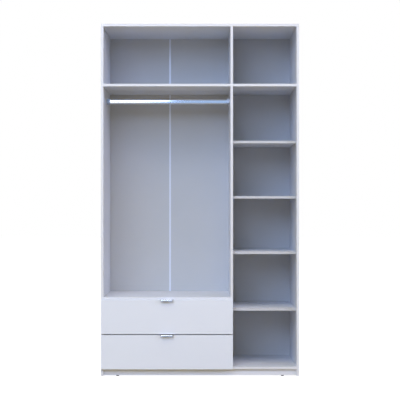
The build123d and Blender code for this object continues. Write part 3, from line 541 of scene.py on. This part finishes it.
class Bench:
    """Modelling by hand: primitives, edit-mode tools and applied modifiers."""

    @staticmethod
    def only(*pieces: bpy.types.Object) -> None:
        """Selects these pieces alone and makes the first one active."""
        if bpy.context.mode != "OBJECT":
            bpy.ops.object.mode_set(mode="OBJECT")
        bpy.ops.object.select_all(action="DESELECT")
        for piece in pieces:
            piece.select_set(True)
        bpy.context.view_layer.objects.active = pieces[0]

    @staticmethod
    def fresh() -> None:
        """Deselects everything, before a primitive is added."""
        bpy.ops.object.select_all(action="DESELECT")

    @staticmethod
    def block(low: Point, high: Point) -> bpy.types.Object:
        """A cuboid between two corners, its place in its mesh.

        Args:
            low: the lowest corner.
            high: the highest corner.

        Returns:
            The new object.
        """
        Bench.fresh()
        middle = [(a + b) / 2 for a, b in zip(low, high)]
        bpy.ops.mesh.primitive_cube_add(size=1.0, location=middle)
        piece = bpy.context.object
        piece.scale = [b - a for a, b in zip(low, high)]
        Bench.settle(piece)
        return piece

    @staticmethod
    def disc(radius: float, depth: float, middle: Point, way: Way, sides: int = 48) -> bpy.types.Object:
        """A cylinder, its place in its mesh.

        Args:
            radius: its radius.
            depth: its length.
            middle: its centre.
            way: the direction of its axis.
            sides: how many sides it has.

        Returns:
            The new object.
        """
        Bench.fresh()
        turn = Vector((0.0, 0.0, 1.0)).rotation_difference(Vector(way.value)).to_euler()
        bpy.ops.mesh.primitive_cylinder_add(
            vertices=sides, radius=radius, depth=depth, location=middle, rotation=turn
        )
        piece = bpy.context.object
        Bench.settle(piece)
        return piece

    @staticmethod
    def settle(piece: bpy.types.Object) -> None:
        """Applies a piece's place, turn and scale to its mesh."""
        Bench.only(piece)
        bpy.ops.object.transform_apply(location=True, rotation=True, scale=True)

    @staticmethod
    def pick(piece: bpy.types.Object, faces: object = None, edges: object = None) -> None:
        """Opens a piece for editing with some of its faces or edges selected.

        Args:
            piece: the piece.
            faces: a test of a face's centre and normal.
            edges: a test of an edge's two ends.
        """
        Bench.only(piece)
        bpy.ops.object.mode_set(mode="EDIT")
        bpy.ops.mesh.select_mode(type="FACE" if faces else "EDGE")
        bpy.ops.mesh.select_all(action="DESELECT")
        bpy.ops.object.mode_set(mode="OBJECT")
        mesh = piece.data
        if faces:
            for face in mesh.polygons:
                face.select = bool(faces(face.center, face.normal))
        else:
            for edge in mesh.edges:
                first, second = (mesh.vertices[number].co for number in edge.vertices)
                edge.select = bool(edges(first, second))
        bpy.ops.object.mode_set(mode="EDIT")

    @staticmethod
    def done() -> None:
        """Leaves edit mode."""
        bpy.ops.object.mode_set(mode="OBJECT")

    @staticmethod
    def modify(piece: bpy.types.Object, kind: str, **settings: object) -> None:
        """Adds a modifier and applies it.

        Args:
            piece: the piece.
            kind: the modifier's type.
            settings: its settings.
        """
        Bench.only(piece)
        modifier = piece.modifiers.new(kind.lower(), kind)
        for name, value in settings.items():
            setattr(modifier, name, value)
        bpy.ops.object.modifier_apply(modifier=modifier.name)

    @staticmethod
    def soften(piece: bpy.types.Object, width: float, segments: int = 2, angle: float = 40.0) -> None:
        """Rounds a piece's sharp edges and smooths its shading, its flat faces left flat.

        Args:
            piece: the piece.
            width: the rounding's width.
            segments: how many steps it has.
            angle: the least angle of an edge that is rounded, in degrees.
        """
        limit = math.radians(angle)
        Bench.modify(piece, "BEVEL", width=width, segments=segments, limit_method="ANGLE", angle_limit=limit)
        Bench.only(piece)
        bpy.ops.object.shade_smooth_by_angle(angle=SMOOTH_UP_TO)
        Bench.modify(piece, "WEIGHTED_NORMAL", keep_sharp=True)

    @staticmethod
    def copies(piece: bpy.types.Object, shifts: list[Vector]) -> bpy.types.Object:
        """Copies a piece to several places and joins the copies.

        Args:
            piece: the piece, modelled round the origin.
            shifts: where each copy goes.

        Returns:
            The joined piece.
        """
        made = []
        for shift in shifts:
            twin = piece.copy()
            twin.data = piece.data.copy()
            twin.location = shift
            bpy.context.collection.objects.link(twin)
            made.append(twin)
        bpy.data.objects.remove(piece)
        Bench.only(*made)
        bpy.ops.object.join()
        joined = bpy.context.object
        Bench.settle(joined)
        return joined


def deliver(piece: bpy.types.Object, name: str, finish: Finish, slot: str, body: str, *nodes: str) -> None:
    """Names a finished piece, dresses it and hangs it on its body.

    Args:
        piece: the piece.
        name: its name.
        finish: its finish.
        slot: the record's material slot, not used.
        body: the body that it rides on.
        nodes: the CAD nodes that it stands for.
    """
    piece.name = name
    piece.data.name = name
    corners = [Vector(corner) for corner in piece.bound_box]
    low = Vector([min(c[axis] for c in corners) for axis in range(3)])
    high = Vector([max(c[axis] for c in corners) for axis in range(3)])
    piece.data.materials.clear()
    piece.data.materials.append(finish.material(EFFECTS, low, high, name))
    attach(piece, body)
    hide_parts(*nodes)
    log.info("%s: %d faces, in place of %s", name, len(piece.data.polygons), ", ".join(nodes))


EFFECTS = Effects()


# ------------------------------------------------------------------ sub-assemblies
@dataclass
class Carcass:
    """The boards, bands and back, which keep their CAD shapes and get their finishes."""

    boards: tuple[str, ...] = (
        "left_side_panel", "right_side_panel", "divider_panel", "top_panel", "bottom_panel",
        "drawer_cover_board", "hat_shelf_left", "hat_shelf_right",
        "loose_shelf_1", "loose_shelf_2", "loose_shelf_3", "loose_shelf_4",
    )
    plinths: tuple[str, ...] = ("front_plinth", "rear_plinth")
    bands: tuple[str, ...] = ("upright_edge_bands", "level_edge_bands")
    shelf_bands: tuple[str, ...] = ("shelf_edge_bands",)
    sheets: tuple[str, ...] = ("back_sheet_left", "back_sheet_middle", "back_sheet_right")
    steel: tuple[str, ...] = ("back_nails", "carcass_screws", "carcass_wood_screws", "shelf_pins")
    strip_node: str = "back_joint_strip"
    strip_wall: float = 1.0 * MM
    strip_edge: float = 0.3 * MM  # rounding of its edges

    def dress(self) -> None:
        """Gives each board, band, sheet and fastener its material."""
        for names, finish in (
            (self.boards, MELAMINE_RAW_BACK),
            (self.plinths, PLINTH_BOARD_PAINTED_LIGHT),
            (self.bands, EDGE_BAND),
            (self.shelf_bands, SHELF_BAND_PAINTED_SHADE),
            (self.sheets, HARDBOARD),
            (self.steel, ZINC),
            (("dowels",), BEECH),
        ):
            for name in names:
                dress_node(name, finish)

    def model_strip(self) -> None:
        """The joint strip: an H section, with a flat flange inside the wardrobe and one behind."""
        low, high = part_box(self.strip_node)
        wall, middle = self.strip_wall, (low.x + high.x) / 2
        strip = Bench.block((low.x, low.y, low.z), (high.x, low.y + wall, high.z))
        for side in (-1, 1):
            Bench.pick(strip, faces=lambda centre, normal: True)
            bpy.ops.mesh.bisect(plane_co=(middle + side * wall / 2, 0, 0), plane_no=(1, 0, 0))
            Bench.done()
        Bench.pick(
            strip,
            faces=lambda centre, normal: normal.y > FACING and abs(centre.x - middle) < wall / 2,
        )
        bpy.ops.mesh.extrude_region_move(TRANSFORM_OT_translate={"value": (0, high.y - low.y - 2 * wall, 0)})
        bpy.ops.mesh.extrude_region_move(TRANSFORM_OT_translate={"value": (0, wall, 0)})
        Bench.done()
        for side in (-1, 1):
            Bench.pick(
                strip,
                faces=lambda centre, normal: normal.x * side > FACING and centre.y > high.y - wall,
            )
            reach = (high.x - low.x - wall) / 2
            bpy.ops.mesh.extrude_region_move(TRANSFORM_OT_translate={"value": (side * reach, 0, 0)})
            Bench.done()
        Bench.soften(strip, self.strip_edge, segments=3)
        deliver(strip, "joint_strip", STRIP, "strip_plastic", "carcass", self.strip_node)

    def build(self) -> None:
        """Dresses the carcass and models its joint strip."""
        self.dress()
        self.model_strip()


def dress_node(name: str, finish: Finish) -> None:
    """Gives a CAD node its own material.

    Args:
        name: the node's name.
        finish: its finish.
    """
    low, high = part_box(name)
    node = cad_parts[name]
    node.data.materials.clear()
    node.data.materials.append(finish.material(EFFECTS, low, high, name))
    log.info("%s: %s", name, finish.name)


@dataclass
class Caps:
    """The white caps over the chipboard screws: round, dished in the middle, with a rolled rim."""

    node: str = "screw_caps"
    sides: int = 32
    rim_share: float = 0.3  # of the radius
    slope_share: float = 0.12  # of the radius
    dish_share: float = 0.3  # of the depth
    edge_share: float = 0.4  # of the depth

    def build(self) -> None:
        """Models one cap for each way that they face and copies it to its places."""
        rows: dict[Way, list[Vector]] = {Way.LEFT: [], Way.RIGHT: []}
        outer_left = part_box("left_side_panel")[0].x
        boxes = spots(self.node)
        for low, high in boxes:
            way = Way.LEFT if low.x < outer_left else Way.RIGHT
            face = low.x if way is Way.LEFT else high.x
            rows[way].append(Vector((face, (low.y + high.y) / 2, (low.z + high.z) / 2)))
        radius = (boxes[0][1].z - boxes[0][0].z) / 2
        depth = outer_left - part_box(self.node)[0].x
        made = []
        for way, places in rows.items():
            sign = way.value[0]
            cap = Bench.disc(radius, depth, (-sign * depth / 2, 0, 0), way, self.sides)
            Bench.pick(cap, faces=lambda centre, normal: normal.x * sign > FACING)
            bpy.ops.mesh.inset(thickness=radius * self.rim_share)
            bpy.ops.mesh.inset(thickness=radius * self.slope_share)
            bpy.ops.transform.translate(value=(-sign * depth * self.dish_share, 0, 0))
            Bench.done()
            Bench.soften(cap, depth * self.edge_share, segments=3)
            made.append(Bench.copies(cap, places))
        Bench.only(*made)
        bpy.ops.object.join()
        deliver(bpy.context.object, "cover_caps", CAP, "cap_plastic", "carcass", self.node)


@dataclass
class HangingRail:
    """The chromed oval tube and the two open sockets that it lies in."""

    node: str = "hanging_rail"
    sockets: tuple[str, ...] = ("rail_socket_left", "rail_socket_right")
    wall: float = 1.0 * MM
    socket_base: float = 2.0 * MM
    socket_play: float = 0.1 * MM
    steps: int = 16  # round each quarter of the oval
    socket_sides: int = 64
    tube_edge: float = 0.25 * MM  # rounding of the tube's ends
    socket_edge: float = 0.5 * MM
    round_share: float = 0.499  # of the tube's width: just under half, so that its edges stay apart

    def build(self) -> None:
        """Models the tube and both sockets."""
        low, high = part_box(self.node)
        middle = (low + high) / 2
        tube = self.oval(low, high)
        past = Vector((CLEAR, -self.wall, -self.wall))
        hollow = self.oval(low - past, high + past)
        Bench.modify(tube, "BOOLEAN", operation="DIFFERENCE", object=hollow, solver="EXACT")
        bpy.data.objects.remove(hollow)
        Bench.soften(tube, self.tube_edge, segments=2, angle=60.0)
        deliver(tube, "chromed_rail", CHROME, "chrome", "carcass", self.node)
        for name in self.sockets:
            self.model_socket(name, middle, (high.y - low.y) / 2 + self.socket_play)

    def oval(self, low: Vector, high: Vector) -> bpy.types.Object:
        """A bar along X with flat sides and round upper and lower edges.

        Args:
            low: its lowest corner.
            high: its highest corner.

        Returns:
            The bar.
        """
        bar = Bench.block(tuple(low), tuple(high))
        Bench.pick(bar, edges=lambda a, b: abs(a.x - b.x) > HAIR)
        rounding = self.round_share * (high.y - low.y)
        bpy.ops.mesh.bevel(offset=rounding, segments=self.steps, affect="EDGES")
        Bench.done()
        return bar

    def model_socket(self, name: str, middle: Vector, hollow: float) -> None:
        """One socket: a deep cup that is open upwards, on a base against the wall.

        Args:
            name: the socket's CAD node.
            middle: the rail's middle.
            hollow: the radius of the round end of the cup's hollow.
        """
        low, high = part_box(name)
        radius = (high.y - low.y) / 2
        centre = ((low.x + high.x) / 2, middle.y, low.z + radius)
        socket = Bench.disc(radius, high.x - low.x, centre, Way.RIGHT, self.socket_sides)
        Bench.pick(socket, faces=lambda spot, normal: True)
        bpy.ops.mesh.bisect(plane_co=centre, plane_no=(0, 0, 1), clear_outer=True, use_fill=True)
        Bench.done()
        Bench.pick(socket, faces=lambda spot, normal: normal.z > FACING and abs(spot.z - centre[2]) < HAIR)
        bpy.ops.mesh.extrude_region_move(TRANSFORM_OT_translate={"value": (0, 0, high.z - centre[2])})
        Bench.done()
        inward = 1 if centre[0] < middle.x else -1
        bore_middle = (centre[0] + inward * self.socket_base, middle.y, centre[2])
        bore = Bench.disc(hollow, high.x - low.x, bore_middle, Way.RIGHT, self.socket_sides)
        slot_low = (bore_middle[0] - (high.x - low.x) / 2, middle.y - hollow, centre[2])
        slot_high = (bore_middle[0] + (high.x - low.x) / 2, middle.y + hollow, high.z + CLEAR)
        mouth = Bench.block(slot_low, slot_high)
        for cutter in (bore, mouth):
            Bench.modify(socket, "BOOLEAN", operation="DIFFERENCE", object=cutter, solver="EXACT")
            bpy.data.objects.remove(cutter)
        Bench.soften(socket, self.socket_edge, segments=3)
        deliver(socket, name.replace("rail_socket", "satin_socket"), SOCKET_METAL, "chrome", "carcass", name)


@dataclass
class Glides:
    """The round black glides under the plinths: a stepped pad with a rounded foot."""

    node: str = "glides"
    pad_height: float = 5.0 * MM
    shoulder: float = 1.0 * MM
    slope: float = 2.5 * MM
    dish: float = 0.6 * MM  # how far the middle of its foot stands back
    edge: float = 0.7 * MM

    def build(self) -> None:
        """Models one glide and copies it under each end of both plinths."""
        boxes = spots(self.node)
        radius = (boxes[0][1].x - boxes[0][0].x) / 2
        pad = Bench.disc(radius, self.pad_height, (0, 0, self.pad_height / 2), Way.UP)
        Bench.pick(pad, faces=lambda centre, normal: normal.z < -FACING)
        bpy.ops.mesh.inset(thickness=self.shoulder)
        bpy.ops.mesh.inset(thickness=self.slope)
        bpy.ops.transform.translate(value=(0, 0, self.dish))
        Bench.done()
        Bench.soften(pad, self.edge, segments=4)
        places = [Vector(((low.x + high.x) / 2, (low.y + high.y) / 2, low.z)) for low, high in boxes]
        pads = Bench.copies(pad, places)
        deliver(pads, "nylon_glides", NYLON, "black_plastic", "carcass", self.node)


@dataclass
class Drawer:
    """One drawer with its pull and its runners."""

    name: str
    wall: float = 1.6 * MM
    lip_drop: float = 9.0 * MM
    nose_bend: float = 4.0 * MM
    rear_bend: float = 1.5 * MM
    bend_steps: int = 10
    corner: float = 12.0 * MM
    corner_steps: int = 16
    edge: float = 0.25 * MM
    wooden: tuple[str, ...] = ("side_left", "side_right", "back")
    steel: tuple[str, ...] = ("cam_fittings", "corner_screws", "wood_screws")
    runner_parts: tuple[str, ...] = (
        "outer_members", "middle_members", "inner_members", "outer_ball_cages", "inner_ball_cages",
    )

    @property
    def body(self) -> str:
        """The body that the drawer is."""
        return f"{self.name}_drawer"

    def dress(self) -> None:
        """Gives the drawer's boards, base, fittings and runners their materials."""
        dress_node(f"{self.body}_front", FRONT_BOARD_PAINTED_LIGHT)
        for part in self.wooden:
            dress_node(f"{self.body}_{part}", MELAMINE)
        dress_node(f"{self.body}_base", HARDBOARD)
        for part in self.steel:
            dress_node(f"{self.body}_{part}", ZINC)
        for part in self.runner_parts:
            dress_node(f"{self.name}_runner_{part}", ZINC)

    def model_pull(self) -> None:
        """The pull: one folded strip, from behind the front over its upper edge and down into a lip."""
        node = f"{self.body}_pull"
        low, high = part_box(node)
        lip = high.z - self.wall - self.lip_drop
        strip = Bench.block(low, high)
        Bench.pick(strip, faces=lambda centre, normal: abs(normal.x) > FACING or normal.z < -FACING)
        bpy.ops.mesh.delete(type="FACE")
        Bench.done()
        Bench.pick(strip, faces=lambda centre, normal: normal.y < -FACING)
        bpy.ops.mesh.bisect(plane_co=(0, 0, lip), plane_no=(0, 0, 1), clear_inner=True)
        Bench.done()
        for side, bend in ((low.y, self.nose_bend), (high.y, self.rear_bend)):
            Bench.pick(
                strip,
                edges=lambda a, b: min(a.z, b.z) > high.z - HAIR
                and max(abs(a.y - side), abs(b.y - side)) < HAIR,
            )
            bpy.ops.mesh.bevel(offset=bend, segments=self.bend_steps, affect="EDGES")
            Bench.done()
        Bench.modify(strip, "SOLIDIFY", thickness=self.wall, offset=-1.0, use_even_offset=True)
        outline = Bench.block((low.x, low.y, low.z - CLEAR), (high.x, high.y + CLEAR, high.z + CLEAR))
        Bench.pick(
            outline,
            edges=lambda a, b: abs(a.z - b.z) > HAIR and max(a.y, b.y) < low.y + HAIR,
        )
        bpy.ops.mesh.bevel(offset=self.corner, segments=self.corner_steps, affect="EDGES")
        Bench.done()
        Bench.modify(strip, "BOOLEAN", operation="INTERSECT", object=outline, solver="EXACT")
        bpy.data.objects.remove(outline)
        Bench.soften(strip, self.edge, segments=2, angle=50.0)
        deliver(strip, f"{self.name}_lip_pull", ALUMINIUM, "satin_aluminium", self.body, node)

    def build(self) -> None:
        """Dresses the drawer and models its pull."""
        self.dress()
        self.model_pull()


# ------------------------------------------------------------------ the studio
@dataclass(frozen=True)
class Softbox:
    """A square soft light: its place, its side and its power in watts for each colour."""

    name: str
    place: Point
    side: float
    power: Colour

    def hang(self, target: Vector) -> None:
        """Hangs the light and turns it to the target."""
        data = bpy.data.lights.new(self.name, "AREA")
        data.shape = "SQUARE"
        data.size = self.side
        data.energy = max(self.power)
        data.color = [share / data.energy for share in self.power]
        lamp = bpy.data.objects.new(self.name, data)
        bpy.context.scene.collection.objects.link(lamp)
        lamp.location = self.place
        lamp.rotation_euler = (target - Vector(self.place)).to_track_quat("-Z", "Y").to_euler()


SOFTBOXES = (
    Softbox("key_softbox", (-3.0, -8.2, 5.6), 6.5, (309.0, 415.0, 655.0)),
    Softbox("high_softbox", (-0.5, -4.6, 7.6), 4.5, (189.0, 156.0, 95.0)),
    Softbox("right_softbox", (6.4, -4.8, 4.2), 3.5, (180.0, 190.0, 285.0)),
    Softbox("rear_softbox", (2.6, 6.5, 4.6), 4.4, (290.0, 312.0, 375.0)),
    Softbox("left_softbox", (-5.6, 3.4, 3.4), 3.0, (110.0, 135.0, 205.0)),
)


@dataclass
class Studio:
    """The pale floor, the soft lights and the camera."""

    distance: float = 6.513  # front plane of the carcass to the camera
    eye_height: float = 1.0172
    lens: float = 96.8
    shift: float = 0.0208
    target: Point = (0.0, 0.0, 0.5)  # what the lights face
    floor_size: float = 60.0
    floor_roughness: float = 0.9
    floor_colour: Colour = (0.26, 0.26, 0.26)
    floor_glow: Colour = (0.885, 0.895, 0.915)
    floor_bounce: Colour = (0.46, 0.37, 0.21)  # what the wardrobe gets back from it
    floor_mirrored: Colour = (0.21, 0.225, 0.255)  # what shiny parts mirror below them
    mirrored_low: Colour = (0.38, 0.53, 0.80)  # what shiny parts mirror, level with them
    mirrored_card: Colour = (1.02, 1.03, 1.04)  # on the left, level with them
    rise: tuple[float, float] = (0.25, 0.75)  # a direction's height, from low to high
    card_edge: tuple[float, float] = (-0.032, -0.056)  # a direction's share of X, at the card's right edge
    card_foot: tuple[float, float] = (0.03, 0.08)  # and its share of Z, at the card's lower edge
    mirrored_high: Colour = (1.10, 1.12, 1.18)  # and from above
    sky: Colour = (0.35, 0.28, 0.08)

    def build(self) -> None:
        """Sets the camera, the lights, the floor and the surroundings."""
        bpy.context.scene.view_settings.view_transform = "Standard"
        self.camera()
        for softbox in SOFTBOXES:
            softbox.hang(Vector(self.target))
        self.floor()
        self.surroundings()

    def camera(self) -> None:
        """A level camera in front of the wardrobe's middle."""
        data = bpy.data.cameras.new("camera")
        data.lens = self.lens
        data.sensor_width = 36.0
        data.shift_y = self.shift
        data.clip_end = 100.0
        camera = bpy.data.objects.new("camera", data)
        bpy.context.scene.collection.objects.link(camera)
        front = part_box("upright_edge_bands")[0].y
        camera.location = (0.0, front - self.distance, self.eye_height)
        camera.rotation_euler = (math.radians(90.0), 0.0, 0.0)
        bpy.context.scene.camera = camera

    def floor(self) -> None:
        """A wide pale floor, with a glow of its own that makes it look nearly white."""
        Bench.fresh()
        bpy.ops.mesh.primitive_plane_add(size=self.floor_size, location=(0, 0, 0))
        floor = bpy.context.object
        floor.name = "studio_floor"
        material = bpy.data.materials.new("studio_floor")
        material.use_nodes = True
        build = Tree(material.node_tree)
        shader = build.add("BsdfPrincipled", Roughness=self.floor_roughness)
        rays = build.add("LightPath").outputs
        seen = rays["Is Camera Ray"]
        returned = build.blend(rays["Is Glossy Ray"], self.floor_bounce, self.floor_mirrored)
        build.feed(shader, "Base Color", build.blend(seen, returned, self.floor_colour))
        build.feed(shader, "Emission Color", build.blend(seen, (0.0, 0.0, 0.0), self.floor_glow))
        build.feed(shader, "Emission Strength", 1.0)
        build.feed(build.add("OutputMaterial"), "Surface", shader.outputs[0])
        floor.data.materials.append(material)

    @staticmethod
    def ramp(build: Tree, value: bpy.types.NodeSocket, ends: tuple[float, float]) -> bpy.types.NodeSocket:
        """A smooth step.

        Args:
            build: the tree that it goes into.
            value: what it follows.
            ends: the values where it is 0 and 1.

        Returns:
            The step, from 0 to 1.
        """
        step = build.add("MapRange", {"interpolation_type": "SMOOTHSTEP"}, Value=value)
        build.feed(step, "From Min", ends[0])
        build.feed(step, "From Max", ends[1])
        return step.outputs[0]

    def surroundings(self) -> None:
        """A white room that lights softly. Shiny parts mirror a bluer one, with a white card on the left."""
        world = bpy.data.worlds.new("white_room")
        bpy.context.scene.world = world
        world.use_nodes = True
        build = Tree(world.node_tree)
        light = build.add("Background", Color=(*self.sky, 1.0), Strength=1.0)
        seen = build.add("Background", Color=(1.0, 1.0, 1.0, 1.0), Strength=1.0)
        way = build.add("SeparateXYZ", Vector=build.add("TexCoord").outputs["Generated"]).outputs
        rise = self.ramp(build, way["Z"], self.rise)
        level = self.ramp(build, way["Z"], self.card_foot)
        card = build.sum("MULTIPLY", level, self.ramp(build, way["X"], self.card_edge))
        around = build.blend(rise, self.mirrored_low, self.mirrored_high)
        around = build.blend(card, around, self.mirrored_card)
        mirrored = build.add("Background", Color=around, Strength=1.0)
        rays = build.add("LightPath")
        surface = light.outputs[0]
        for kind, shader in (("Is Glossy Ray", mirrored), ("Is Camera Ray", seen)):
            mix = build.add("MixShader")
            build.feed(mix, 0, rays.outputs[kind])
            build.feed(mix, 1, surface)
            build.feed(mix, 2, shader.outputs[0])
            surface = mix.outputs[0]
        build.feed(build.add("OutputWorld"), "Surface", surface)


def main() -> None:
    """Builds the wardrobe's looks and the studio."""
    logging.basicConfig(level=logging.INFO, format="%(name)s %(message)s")
    Studio().build()
    Carcass().build()
    Caps().build()
    HangingRail().build()
    Glides().build()
    for name in ("lower", "upper"):
        Drawer(name).build()


if __name__ == "__main__":
    main()
